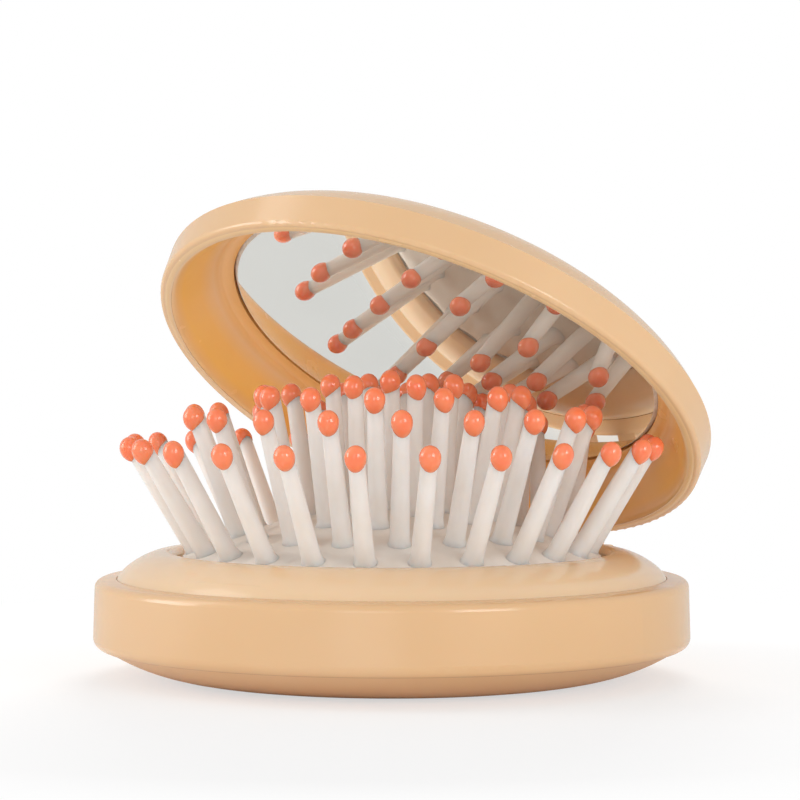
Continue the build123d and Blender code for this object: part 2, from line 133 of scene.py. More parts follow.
# ---------------------------------------------------------------- finishes
@dataclass(frozen=True)
class Finish:
    """What every finish has: a name, its two colours and how its surface was made."""

    name: str
    colour: str
    deep_colour: str
    roughness: float = 0.4
    roughness_spread: float = 0.05
    mottle_mm: float = 25.0
    grain_mm: float = 0.5
    grain_depth_mm: float = 0.0
    ior: float = 1.5
    metallic: float = 0.0
    subsurface: float = 0.0
    subsurface_mm: float = 1.0
    bleed: tuple[float, float, float] = (1.0, 0.8, 0.7)
    coat: float = 0.0
    coat_roughness: float = 0.05

    def material(self) -> bpy.types.Material:
        """Builds the material once and hands the same one out afterwards.

        Returns:
            The procedural material.
        """
        found = bpy.data.materials.get(self.name)
        if found is not None:
            return found
        made = bpy.data.materials.new(self.name)
        made.use_nodes = True
        tree = made.node_tree
        tree.nodes.clear()
        place = add_node(tree, "ShaderNodeTexCoord").outputs["Object"]
        shader = add_node(
            tree,
            "ShaderNodeBsdfPrincipled",
            {
                "Base Color": self.tint(tree, place),
                "Roughness": self.gloss(tree, place),
                "Metallic": self.metallic,
                "IOR": self.ior,
                "Subsurface Weight": self.subsurface,
                "Subsurface Radius": self.bleed,
                "Subsurface Scale": self.subsurface_mm * MM,
                "Coat Weight": self.coat,
                "Coat Roughness": self.coat_roughness,
            },
        )
        if self.grain_depth_mm:
            tree.links.new(self.relief(tree, place), shader.inputs["Normal"])
        add_node(tree, "ShaderNodeOutputMaterial", {"Surface": shader.outputs[0]})
        return made

    def tint(self, tree: bpy.types.NodeTree, place: bpy.types.NodeSocket) -> bpy.types.NodeSocket:
        """Drifts slowly between the finish's two colours.

        Args:
            tree: The material's nodes.
            place: Object coordinates.

        Returns:
            The colour output.
        """
        drift = add_node(
            tree,
            "ShaderNodeTexNoise",
            {"Vector": place, "Scale": per_metre(self.mottle_mm), "Detail": 2.0, "Roughness": 0.5},
        )
        ramp = add_node(tree, "ShaderNodeValToRGB", {"Fac": drift.outputs["Fac"]})
        first, last = ramp.color_ramp.elements
        first.position, last.position = NOISE_LOW, NOISE_HIGH
        first.color, last.color = to_linear(self.colour), to_linear(self.deep_colour)
        return ramp.outputs["Color"]

    def gloss(self, tree: bpy.types.NodeTree, place: bpy.types.NodeSocket) -> bpy.types.NodeSocket:
        """Varies the roughness in soft patches, as handling and moulding leave it.

        Args:
            tree: The material's nodes.
            place: Object coordinates.

        Returns:
            The roughness output.
        """
        patches = add_node(
            tree,
            "ShaderNodeTexNoise",
            {
                "Vector": place,
                "Scale": per_metre(self.mottle_mm / PATCHES_PER_MOTTLE),
                "Detail": 3.0,
            },
        )
        spread = add_node(
            tree,
            "ShaderNodeMapRange",
            {
                "Value": patches.outputs["Fac"],
                "From Min": NOISE_LOW,
                "From Max": NOISE_HIGH,
                "To Min": max(self.roughness - self.roughness_spread, 0.0),
                "To Max": self.roughness + self.roughness_spread,
            },
        )
        return spread.outputs[0]

    def relief(self, tree: bpy.types.NodeTree, place: bpy.types.NodeSocket) -> bpy.types.NodeSocket:
        """Raises a fine grain.

        Args:
            tree: The material's nodes.
            place: Object coordinates.

        Returns:
            The normal output.
        """
        grain = add_node(
            tree,
            "ShaderNodeTexNoise",
            {"Vector": place, "Scale": per_metre(self.grain_mm), "Detail": 2.0},
        )
        bump = add_node(
            tree,
            "ShaderNodeBump",
            {"Height": grain.outputs["Fac"], "Strength": 1.0, "Distance": self.grain_depth_mm * MM},
        )
        return bump.outputs[0]


@dataclass(frozen=True)
class GradedFinish(Finish):
    """A finish that goes from its colour to its deep colour with the distance from a plane.

    The tones between those two stand at shares of the depth. The plane runs along X.
    """

    between: tuple[tuple[float, str], ...] = ()
    depth_mm: float = 7.0
    plane_tilt: float = 0.0
    plane_y: float = 0.0
    plane_z: float = 0.0

    def tint(self, tree: bpy.types.NodeTree, place: bpy.types.NodeSocket) -> bpy.types.NodeSocket:
        """Goes through the tones, from the plane to the full depth.

        Args:
            tree: The material's nodes.
            place: Object coordinates.

        Returns:
            The colour output.
        """
        angle = math.radians(self.plane_tilt)
        normal = (0.0, math.sin(angle), math.cos(angle))
        along = add_node(tree, "ShaderNodeVectorMath", {0: place, 1: normal}, operation="DOT_PRODUCT")
        start = self.plane_y * normal[1] + self.plane_z * normal[2]
        depth = add_node(
            tree,
            "ShaderNodeMapRange",
            {
                "Value": along.outputs["Value"],
                "From Min": start * MM,
                "From Max": (start + self.depth_mm) * MM,
            },
        )
        ramp = add_node(tree, "ShaderNodeValToRGB", {"Fac": depth.outputs[0]})
        stops = ramp.color_ramp.elements
        tones = ((0.0, self.colour), *self.between, (1.0, self.deep_colour))
        while len(stops) < len(tones):
            stops.new(1.0)
        for stop, (share, tone) in zip(stops, tones):
            stop.position = share
            stop.color = to_linear(tone)
        return ramp.outputs["Color"]


# Gloss ABS from a polished mould: a clean mirror-like skin that waves very slightly, warm inside.
SHELL_ABS = Finish(
    "moulded_gloss_abs",
    "#E2BB90",
    "#DFB688",
    roughness=0.2,
    roughness_spread=0.03,
    grain_mm=3.0,
    grain_depth_mm=0.01,
    subsurface=0.15,
    subsurface_mm=1.5,
    bleed=(1.0, 0.45, 0.2),
)
# The bezel: the same resin, polished, with its colour painted paler than the tub's to stand for the
# different light on it, a lit copy of one material.
BEZEL_ABS = Finish(
    "polished_gloss_abs_painted_light",
    "#ECCDA8",
    "#E8C7A0",
    roughness=0.16,
    roughness_spread=0.03,
    grain_mm=3.0,
    grain_depth_mm=0.008,
    subsurface=0.15,
    subsurface_mm=1.5,
    bleed=(1.0, 0.45, 0.2),
)
# The lid's inner moulding, with painted glow: its flank is coloured a brighter, saturated gold that stands
# for light bouncing round the hollow and soaking through the thin wall, and it looks like the cap at its
# lip and by the glass.
FRAME_ABS = GradedFinish(
    "moulded_gloss_abs_inner_painted_glow",
    "#E8C08E",
    "#F4BC74",
    roughness=0.25,
    roughness_spread=0.03,
    grain_mm=3.0,
    grain_depth_mm=0.01,
    subsurface=0.1,
    subsurface_mm=1.0,
    bleed=(1.0, 0.45, 0.2),
    # Painted glow: the saturated golds down the flank stand for bounced and soaked-in light, not the
    # resin's own tone.
    between=((0.09, "#F7C480"), (0.25, "#FFC66A"), (0.6, "#FFC672"), (0.85, "#F8CA94")),
    plane_tilt=33.8,
    plane_y=47.0,
    plane_z=14.0,
)
# Compression-moulded silicone rubber: soft, dull white that drifts faintly at random to a greyer tone.
PAD_RUBBER = Finish(
    "moulded_silicone_rubber",
    "#EAE3DA",
    "#E2D9CE",
    roughness=0.6,
    roughness_spread=0.06,
    mottle_mm=6.0,
    grain_mm=0.35,
    grain_depth_mm=0.012,
    subsurface=0.2,
    subsurface_mm=1.0,
)
# Injection-moulded natural nylon: milky and satin, light bleeds into the thin ends.
PIN_NYLON = Finish(
    "moulded_natural_nylon",
    "#E4E1DE",
    "#DFDBD6",
    roughness=0.38,
    roughness_spread=0.05,
    mottle_mm=5.0,
    grain_mm=0.4,
    grain_depth_mm=0.006,
    subsurface=0.9,
    subsurface_mm=4.0,
)
# Epoxy resin that the pin's end was dipped in: a thick wet-looking coat that pulls into a drop.
TIP_RESIN = Finish(
    "dipped_epoxy_resin",
    "#FA9063",
    "#F68155",
    roughness=0.2,
    roughness_spread=0.05,
    mottle_mm=2.0,
    grain_mm=0.8,
    grain_depth_mm=0.015,
    subsurface=0.7,
    subsurface_mm=1.4,
    bleed=(1.0, 0.5, 0.35),
    coat=0.5,
)
# Silvered glass under its thin protective film: a clear reflection under a pale haze.
MIRROR_SILVER = Finish(
    "silvered_float_glass",
    "#F6F7F2",
    "#F2F3EE",
    roughness=0.012,
    roughness_spread=0.008,
    metallic=0.92,
)
# Edge of the glass, cut and seamed with a fine stone: a frosted pale line.
GROUND_GLASS = Finish(
    "stone_ground_glass_edge",
    "#FAFAF6",
    "#DCDDD6",
    roughness=0.5,
    roughness_spread=0.15,
    mottle_mm=1.6,
    grain_mm=0.25,
    grain_depth_mm=0.04,
    subsurface=0.2,
    subsurface_mm=0.5,
)
# Injection-moulded polypropylene, hidden parts: plain, waxy white.
PLAIN_PP = Finish(
    "moulded_white_polypropylene",
    "#ECEAE6",
    "#E4E1DC",
    roughness=0.5,
    grain_mm=0.6,
    grain_depth_mm=0.01,
)
# Drawn and oiled spring wire: fine bright lines along the wire.
SPRING_WIRE = Finish(
    "drawn_spring_steel",
    "#B9BABC",
    "#A9AAAD",
    roughness=0.32,
    metallic=1.0,
    grain_mm=0.15,
    grain_depth_mm=0.004,
)
# Centreless-ground steel pin: bright with a short-lived satin.
GROUND_STEEL = Finish(
    "ground_steel_pin",
    "#C4C5C7",
    "#B2B3B6",
    roughness=0.28,
    metallic=1.0,
    grain_mm=0.2,
    grain_depth_mm=0.003,
)
# Nickel-plated magnet: warm bright plating over a sintered block.
NICKEL = Finish(
    "nickel_plated_magnet",
    "#CFCBC2",
    "#BDB8AE",
    roughness=0.22,
    metallic=1.0,
    grain_mm=0.4,
    grain_depth_mm=0.005,
)
# Closed-cell foam tape: dull, pitted and off-white.
FOAM = Finish(
    "closed_cell_foam",
    "#E6E4DE",
    "#D8D5CD",
    roughness=0.9,
    grain_mm=0.3,
    grain_depth_mm=0.08,
)


# ---------------------------------------------------------------- mesh helpers
def lathe(profile: Sequence[Point], steps: int, closed: bool = False) -> bmesh.types.BMesh:
    """Spins an outline of (radius, height) points about Z.

    Args:
        profile: The outline; where it meets the axis its radius is 0.
        steps: Faces round the full turn.
        closed: Joins the last point to the first.

    Returns:
        A welded mesh with its faces pointing outwards.
    """
    made = bmesh.new()
    line = [made.verts.new((radius, 0, height)) for radius, height in profile]
    pairs = list(zip(line, line[1:])) + ([(line[-1], line[0])] if closed else [])
    edges = [made.edges.new(pair) for pair in pairs]
    bmesh.ops.spin(
        made,
        geom=line + edges,
        cent=(0, 0, 0),
        axis=(0, 0, 1),
        dvec=(0, 0, 0),
        angle=TURN,
        steps=steps,
        use_merge=True,
        use_duplicate=False,
    )
    bmesh.ops.remove_doubles(made, verts=made.verts, dist=WELD)
    bmesh.ops.dissolve_degenerate(made, edges=made.edges, dist=SLIVER)
    bmesh.ops.recalc_face_normals(made, faces=made.faces)
    return made


def swept(start: Point, leave: Point, reach: Point, end: Point, count: int) -> list[Point]:
    """Points along a soft curve, without the first.

    Args:
        start: Where the curve begins.
        leave: Point that it heads for as it leaves.
        reach: Point that it comes from as it ends.
        end: Where it ends.
        count: Points to return.

    Returns:
        The points after start.
    """
    found = []
    for k in range(1, count + 1):
        gone = k / count
        left = 1 - gone
        weights = (left**3, 3 * gone * left**2, 3 * gone**2 * left, gone**3)
        pulls = list(zip(weights, (start, leave, reach, end)))
        across = sum(weight * corner[0] for weight, corner in pulls)
        up = sum(weight * corner[1] for weight, corner in pulls)
        found.append((across, up))
    return found


def arc(start: Point, end: Point, bulge: float, count: int) -> list[Point]:
    """Points along a circular arc between two points, without the first.

    Args:
        start: Where the arc begins.
        end: Where it ends.
        bulge: Height of the arc over its chord, positive to the left of the way it runs, never 0.
        count: Points to return.

    Returns:
        The points after start.
    """
    ax, ay = start
    bx, by = end
    chord = math.hypot(bx - ax, by - ay)
    radius = (chord * chord / 4 + bulge * bulge) / (2 * abs(bulge))
    side = 1 if bulge > 0 else -1
    nx, ny = -(by - ay) / chord, (bx - ax) / chord
    reach = radius - abs(bulge)
    cx, cy = (ax + bx) / 2 - side * nx * reach, (ay + by) / 2 - side * ny * reach
    first = math.atan2(ay - cy, ax - cx)
    sweep = math.atan2(by - cy, bx - cx) - first
    if side > 0 and sweep > 0:
        sweep -= TURN
    if side < 0 and sweep < 0:
        sweep += TURN
    angles = [first + sweep * k / count for k in range(1, count + 1)]
    return [(cx + radius * math.cos(angle), cy + radius * math.sin(angle)) for angle in angles]


def gathered(template: bmesh.types.BMesh, places: Iterable[Matrix]) -> bmesh.types.BMesh:
    """Copies a small mesh to each place.

    Args:
        template: The mesh to repeat.
        places: One matrix for each copy.

    Returns:
        One mesh with all the copies.
    """
    pattern = bpy.data.meshes.new("pattern")
    template.to_mesh(pattern)
    made = bmesh.new()
    for place in places:
        before = len(made.verts)
        made.from_mesh(pattern)
        made.verts.ensure_lookup_table()
        bmesh.ops.transform(made, matrix=place, verts=made.verts[before:])
    bpy.data.meshes.remove(pattern)
    return made


def mesh_object(
    name: str,
    made: bmesh.types.BMesh,
    finish: Finish,
    flat_above: float = 180.0,
) -> bpy.types.Object:
    """Turns a mesh in millimetres into a finished object in metres.

    Args:
        name: The piece's name.
        made: The mesh, which is freed.
        finish: What the piece is made of.
        flat_above: Edges sharper than this many degrees stay sharp.

    Returns:
        The object, at the origin with its place in its mesh.
    """
    bmesh.ops.scale(made, vec=(MM, MM, MM), verts=made.verts)
    for face in made.faces:
        face.smooth = True
    for edge in made.edges:
        if len(edge.link_faces) == 2 and edge.calc_face_angle() > math.radians(flat_above):
            edge.smooth = False
    data = bpy.data.meshes.new(name)
    made.to_mesh(data)
    made.free()
    data.materials.append(finish.material())
    piece = bpy.data.objects.new(name, data)
    bpy.context.scene.collection.objects.link(piece)
    return piece


def dress(node: str, finish: Finish) -> None:
    """Gives a CAD node its finish.

    Args:
        node: The node's name.
        finish: What it is made of.
    """
    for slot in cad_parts[node].material_slots:
        slot.material = finish.material()
    log.info("dressed %s in %s", node, finish.name)


def report(piece: bpy.types.Object) -> None:
    """Logs a finished piece and its size."""
    log.info("%s: %d faces", piece.name, len(piece.data.polygons))


# ---------------------------------------------------------------- the object's own places
@dataclass(frozen=True)
class Places:
    """Heights and radii that the sub-assemblies share."""

    lip_z: float = 14.0
    hinge_y: float = 47.0
    hinge_z: float = 14.0
    open_angle: float = 33.8
    mirror_depth: float = 7.75
    pad_edge_z: float = 16.6
    pad_radius: float = 29.9
    pad_rise: float = 6.5

    def opened(self) -> Matrix:
        """Turns the lid's pieces about the hinge, from shut to open.

        Returns:
            The turn as a matrix.
        """
        shift = Matrix.Translation((0, self.hinge_y, self.hinge_z))
        turn = Matrix.Rotation(math.radians(self.open_angle), 4, Vector((-1, 0, 0)))
        return shift @ turn @ shift.inverted()

    def pad_height(self, radius: float) -> float:
        """Height of the pad's crown at a radius."""
        sphere = (self.pad_radius**2 + self.pad_rise**2) / (2 * self.pad_rise)
        return self.pad_edge_z + self.pad_rise - (sphere - math.sqrt(sphere**2 - radius**2))

    def mirror_gap(self, y: float, z: float) -> float:
        """Distance of a point in front of the open mirror's face.

        Args:
            y: Where the point lies towards the hinge.
            z: Its height.

        Returns:
            The distance, below 0 behind the face.
        """
        angle = math.radians(self.open_angle)
        from_hinge = (y - self.hinge_y) * math.sin(angle) + (z - self.hinge_z) * math.cos(angle)
        return self.mirror_depth - from_hinge


# ---------------------------------------------------------------- bristle bed
class Ring(Enum):
    """The rings of bristles: name, pins in the ring, foot radius, lean and length."""

    OUTER = ("outer", 24, 27.5, 31.5, 17.2)
    SECOND = ("second", 18, 21.8, 20.0, 17.9)
    THIRD = ("third", 12, 14.53, 11.0, 18.0)
    INNER = ("inner", 6, 7.27, 3.7, 18.1)
    CENTRE = ("centre", 1, 0.0, 0.0, 18.3)


@dataclass(frozen=True)
class Pin:
    """One bristle's stance: turn about Z, foot radius, lean and length."""

    turn: float
    radius: float
    lean: float
    length: float

    def place(self, places: Places) -> Matrix:
        """Matrix from a pin that stands on the origin to its place on the pad."""
        return (
            Matrix.Rotation(math.radians(self.turn), 4, "Z")
            @ Matrix.Translation((0, -self.radius, places.pad_height(self.radius)))
            @ Matrix.Rotation(math.radians(self.lean), 4, "X")
        )


@dataclass
class BristleBed:
    """Rubber pad, nylon pins and their dipped tips, on the carrier that slides in the base."""

    places: Places = field(default_factory=Places)
    # The nylon pin and its flared foot.
    shaft_low: float = 1.35
    shaft_top: float = 1.1
    foot_radius: float = 1.95
    foot_depth: float = 1.2
    foot_edge: float = 0.3
    foot_draft: float = 0.98
    flare_height: float = 1.6
    flare_power: float = 2.2
    flare_rings: int = 8
    shaft_rings: int = 6
    shaft_below_tip: float = 0.2
    round_steps: int = 20
    # The dipped tip, and how much one may differ from the next.
    drop_rings: int = 9
    tip_radius: float = 1.45
    tip_above: float = 1.68
    drop_below: float = 2.02
    drop_taper: float = 0.12
    drop_out: float = 0.32
    drop_tilt: float = -10.0
    drop_leans: tuple[float, float] = (1, 7)
    drop_sizes: tuple[tuple[float, float], ...] = ((0.97, 1.05), (0.96, 1.03), (0.95, 1.04))
    # Room between the tips and the open mirror.
    tip_reach: float = 1.8
    mirror_clear: float = 0.4
    least_lean: float = -20.0
    lean_step: float = 0.5
    # How the bed flattens when the lid shuts.
    closed_keep: float = 0.53
    shut_length: float = 0.66
    least_keep: float = 0.05
    sector_pins: int = 3
    lean_spread: float = 2.0
    first_seed: int = 40
    # The rubber diaphragm.
    crown_share: float = 0.985
    crown_rings: int = 84
    hollow_rings: int = 12
    roll_drop: float = 0.9
    roll_bulge: float = -0.12
    roll_points: int = 6
    flange_drop: float = 2.2
    flange_width: float = 2.0
    flange_thickness: float = 0.2
    skirt_thickness: float = 1.3
    skirt_top: float = 2.0
    rubber_thickness: float = 1.5
    collar_height: float = 0.35
    collar_width: float = 1.1
    collar_sink: float = 0.3
    skin_depth: float = 0.3
    pad_steps: int = 240

    def pins(self, ring: Ring) -> list[Pin]:
        """Stances of a ring's pins, brought in near the hinge so that they clear the mirror.

        Args:
            ring: Which ring.

        Returns:
            One stance for each pin.
        """
        _, count, radius, lean, length = ring.value
        stances = []
        for k in range(count):
            turn = 360 * k / count
            own = lean
            while own > self.least_lean:
                tilt = math.radians(own)
                out = radius + length * math.sin(tilt)
                tip_z = self.places.pad_height(radius) + length * math.cos(tilt)
                gap = self.places.mirror_gap(-out * math.cos(math.radians(turn)), tip_z)
                if gap >= self.tip_reach + self.mirror_clear:
                    break
                own -= self.lean_step
            stances.append(Pin(turn, radius, own, length))
        return stances

    def shaft(self, length: float) -> bmesh.types.BMesh:
        """One pin with its flared foot, standing on the origin.

        Args:
            length: Foot to the middle of the tip.

        Returns:
            The mesh.
        """
        profile: list[Point] = [
            (0, -self.foot_depth),
            (self.foot_radius * self.foot_draft, -self.foot_depth),
            (self.foot_radius, -self.foot_edge),
        ]
        for k in range(1, self.flare_rings + 1):
            share = k / self.flare_rings
            ease = (1 - share) ** self.flare_power
            radius = self.shaft_low + (self.foot_radius - self.shaft_low) * ease
            profile.append((radius, -self.foot_edge + (self.flare_height + self.foot_edge) * share))
        top = length - self.shaft_below_tip
        for k in range(1, self.shaft_rings + 1):
            share = k / self.shaft_rings
            radius = self.shaft_low + (self.shaft_top - self.shaft_low) * share
            profile.append((radius, self.flare_height + (top - self.flare_height) * share))
        profile.append((0, top))
        return lathe(profile, self.round_steps)

    def drop(self, length: float) -> bmesh.types.BMesh:
        """The dipped tip of a pin: an egg that hangs a little on the pin's outer side.

        Args:
            length: Foot to the middle of the tip.

        Returns:
            The mesh.
        """
        profile: list[Point] = [(0, -self.drop_below)]
        angles = [math.pi / 2 * k / self.drop_rings for k in range(self.drop_rings)]
        for angle in angles[1:]:
            taper = 1 - self.drop_taper * math.cos(angle) ** 2
            profile.append((self.tip_radius * math.sin(angle) * taper, -self.drop_below * math.cos(angle)))
        for angle in angles:
            profile.append((self.tip_radius * math.cos(angle), self.tip_above * math.sin(angle)))
        profile.append((0, self.tip_above))
        made = lathe(profile, self.round_steps)
        hang = Matrix.Rotation(math.radians(self.drop_tilt), 4, "X")
        move = Matrix.Translation((0, -self.drop_out, length))
        bmesh.ops.transform(made, matrix=move @ hang, verts=made.verts)
        return made

    def pad_outline(self) -> list[Point]:
        """Crown, rolled edge, flange and hollow of the rubber diaphragm.

        Returns:
            The outline, from the middle of the crown to the middle of the hollow.
        """
        height = self.places.pad_height
        edge = self.places.pad_radius
        reach = edge * self.crown_share
        crown = [reach * k / self.crown_rings for k in range(self.crown_rings + 1)]
        outline = [(radius, height(radius)) for radius in crown]
        rolled_to = (edge, outline[-1][1] - self.roll_drop)
        outline += arc(outline[-1], rolled_to, self.roll_bulge, self.roll_points)
        low = self.places.pad_edge_z - self.flange_drop
        inner = edge - self.skirt_thickness
        outline += [
            (edge, low),
            (edge + self.flange_width, low),
            (edge + self.flange_width, low - self.flange_thickness),
            (inner, low - self.flange_thickness),
            (inner, height(inner) - self.skirt_top),
        ]
        hollow = [inner * (1 - k / self.hollow_rings) for k in range(1, self.hollow_rings + 1)]
        return outline + [(radius, height(radius) - self.rubber_thickness) for radius in hollow]

    def raise_collars(self, made: bmesh.types.BMesh) -> None:
        """Swells the rubber's skin a little round each pin's foot.

        Args:
            made: The diaphragm.
        """
        edge = self.places.pad_radius
        feet = [
            (pin.radius * math.sin(math.radians(pin.turn)), -pin.radius * math.cos(math.radians(pin.turn)))
            for ring in Ring
            for pin in self.pins(ring)
        ]
        for vert in made.verts:
            skin = self.places.pad_height(min(math.hypot(vert.co.x, vert.co.y), edge)) - self.skin_depth
            if vert.co.z < skin:
                continue
            nearest = min(math.hypot(vert.co.x - x, vert.co.y - y) for x, y in feet)
            reach = max(nearest - self.foot_radius, 0.0) / self.collar_width
            sink = self.collar_height * self.collar_sink
            vert.co.z += self.collar_height * math.exp(-reach * reach) - sink

    def build_pad(self) -> bpy.types.Object:
        """Crowned rubber diaphragm with collars round the pins.

        Returns:
            The pad.
        """
        made = lathe(self.pad_outline(), self.pad_steps)
        self.raise_collars(made)
        pad = mesh_object("pad_diaphragm", made, PAD_RUBBER, flat_above=50)
        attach(pad, "carrier")
        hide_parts("cushion_pad")
        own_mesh(pad)
        report(pad)
        return pad

    def folding(self, group: Sequence[Pin], spread: bool) -> tuple[Vector, Vector, float]:
        """How a group of pins flattens when the lid shuts.

        Args:
            group: The pins.
            spread: True for pins that lean out past the opening and have to come upright.

        Returns:
            Axis, anchor in metres, and the share of the thickness that is left.
        """
        if not spread:
            return Vector((0, 0, 1)), Vector((0, 0, self.places.pad_edge_z * MM)), self.closed_keep
        middle = group[len(group) // 2]
        lean = math.radians(sum(pin.lean for pin in group) / len(group))
        before = Vector((math.sin(lean), math.cos(lean)))
        change = before - Vector((0.0, self.shut_length))
        axis = change.normalized()
        keep = 1 - change.length_squared / before.dot(change)
        turn = Matrix.Rotation(math.radians(middle.turn), 4, "Z")
        anchor = turn @ Vector((0, -middle.radius, self.places.pad_height(middle.radius)))
        return turn @ Vector((0, -axis.x, axis.y)), anchor * MM, max(keep, self.least_keep)

    def build_group(self, name: str, ring: Ring, group: Sequence[Pin], spread: bool, seed: int) -> None:
        """Pins and tips of one group; how they would flatten together is worked out but not used.

        Args:
            name: What the group is called.
            ring: The ring it belongs to.
            group: Its pins.
            spread: See folding.
            seed: Starts the small differences between dipped tips.
        """
        draw = random.Random(seed)
        places = [pin.place(self.places) for pin in group]
        drops = [place @ self.dipped(pin.length, draw) for place, pin in zip(places, group)]
        axis, anchor, keep = self.folding(group, spread)
        length = group[0].length
        kinds = (
            ("pins", self.shaft(length), places, PIN_NYLON, 60, "bristles", "bristle_nylon"),
            ("drops", self.drop(length), drops, TIP_RESIN, 180, "tips", "tip_plastic"),
        )
        for kind, template, stands, finish, flat_above, stands_for, slot in kinds:
            piece = mesh_object(f"{name}_{kind}", gathered(template, stands), finish, flat_above)
            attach(piece, "carrier")
            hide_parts(f"{ring.value[0]}_{stands_for}")
            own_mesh(piece)
            report(piece)

    def dipped(self, length: float, draw: random.Random) -> Matrix:
        """Small skew and stretch that make each dipped tip its own.

        Args:
            length: Foot to the middle of the tip.
            draw: Where the differences come from.

        Returns:
            A matrix about the tip's middle.
        """
        centre = Matrix.Translation((0, 0, length))
        turn = Matrix.Rotation(draw.uniform(0, TURN), 4, "Z")
        lean = Matrix.Rotation(math.radians(draw.uniform(*self.drop_leans)), 4, "X")
        size = Matrix.Diagonal([draw.uniform(*limits) for limits in self.drop_sizes] + [1])
        return centre @ turn @ lean @ size @ turn.inverted() @ centre.inverted()

    def sectors(self, pins: list[Pin]) -> list[list[Pin]]:
        """Splits the outer ring into groups that can flatten as one.

        Args:
            pins: The ring's pins in order.

        Returns:
            Groups of neighbours, or single pins where their leans differ.
        """
        half = self.sector_pins // 2
        turned = pins[-half:] + pins[:-half]
        found = []
        for k in range(0, len(turned), self.sector_pins):
            group = turned[k : k + self.sector_pins]
            leans = [pin.lean for pin in group]
            alike = max(leans) - min(leans) <= self.lean_spread
            found += [group] if alike else [[pin] for pin in group]
        return found

    def build(self) -> None:
        """Builds the whole bed."""
        self.build_pad()
        for ring in Ring:
            pins = self.pins(ring)
            if ring is Ring.OUTER:
                for k, group in enumerate(self.sectors(pins)):
                    self.build_group(f"outer_{k + 1}", ring, group, True, self.first_seed + k)
            else:
                self.build_group(ring.value[0], ring, pins, False, len(pins))
        for node in ("carrier_plate", "pad_retainer"):
            dress(node, PLAIN_PP)


# ---------------------------------------------------------------- base
@dataclass
class BaseHalf:
    """Tub, bezel, magnet and return springs."""

    spring_count: int = 3
    spring_circle: float = 17.0
    spring_foot: float = 5.0
    spring_head: float = 2.6
    spring_turns: int = 5
    spring_wire: float = 0.3
    spring_clear: float = 0.03
    spring_turn: float = 60.0
    wire_sides: int = 8
    floor_z: float = 1.6
    plate_z: float = 12.75
    steps_per_turn: int = 32

    def build_springs(self) -> bpy.types.Object:
        """Cone springs that stand on the floor under the carrier.

        Returns:
            All the springs as one piece.
        """
        wire = bmesh.new()
        ring = bmesh.ops.create_circle(
            wire, cap_ends=False, segments=self.wire_sides, radius=self.spring_wire
        )
        start = Matrix.Translation(
            (self.spring_foot, 0, self.floor_z + self.spring_wire + self.spring_clear)
        )
        bmesh.ops.transform(wire, matrix=start @ Matrix.Rotation(math.pi / 2, 4, "X"), verts=ring["verts"])
        steps = self.spring_turns * self.steps_per_turn
        rise = self.plate_z - self.floor_z - 2 * self.spring_wire - 2 * self.spring_clear
        bmesh.ops.spin(
            wire,
            geom=wire.verts[:] + wire.edges[:],
            cent=(0, 0, 0),
            axis=(0, 0, 1),
            dvec=(0, 0, rise / steps),
            angle=TURN * self.spring_turns,
            steps=steps,
            use_merge=False,
            use_duplicate=False,
        )
        bmesh.ops.holes_fill(wire, edges=wire.edges, sides=self.wire_sides)
        bmesh.ops.recalc_face_normals(wire, faces=wire.faces)
        for vert in wire.verts:
            share = min(max((vert.co.z - self.floor_z - self.spring_wire) / rise, 0.0), 1.0)
            here = math.hypot(vert.co.x, vert.co.y)
            less = (self.spring_foot - self.spring_head) * share
            vert.co.xy = vert.co.xy * (here - less) / here
        turns = [
            Matrix.Rotation(math.radians(360 * k / self.spring_count + self.spring_turn), 4, "Z")
            @ Matrix.Translation((0, -self.spring_circle, 0))
            for k in range(self.spring_count)
        ]
        springs = mesh_object("cone_springs", gathered(wire, turns), SPRING_WIRE)
        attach(springs, "base")
        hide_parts("return_springs")
        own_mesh(springs)
        report(springs)
        return springs

    def build(self) -> None:
        """Builds the springs and dresses the mouldings."""
        self.build_springs()
        dress("base_shell", SHELL_ABS)
        dress("bezel_ring", BEZEL_ABS)
        dress("base_magnet", NICKEL)


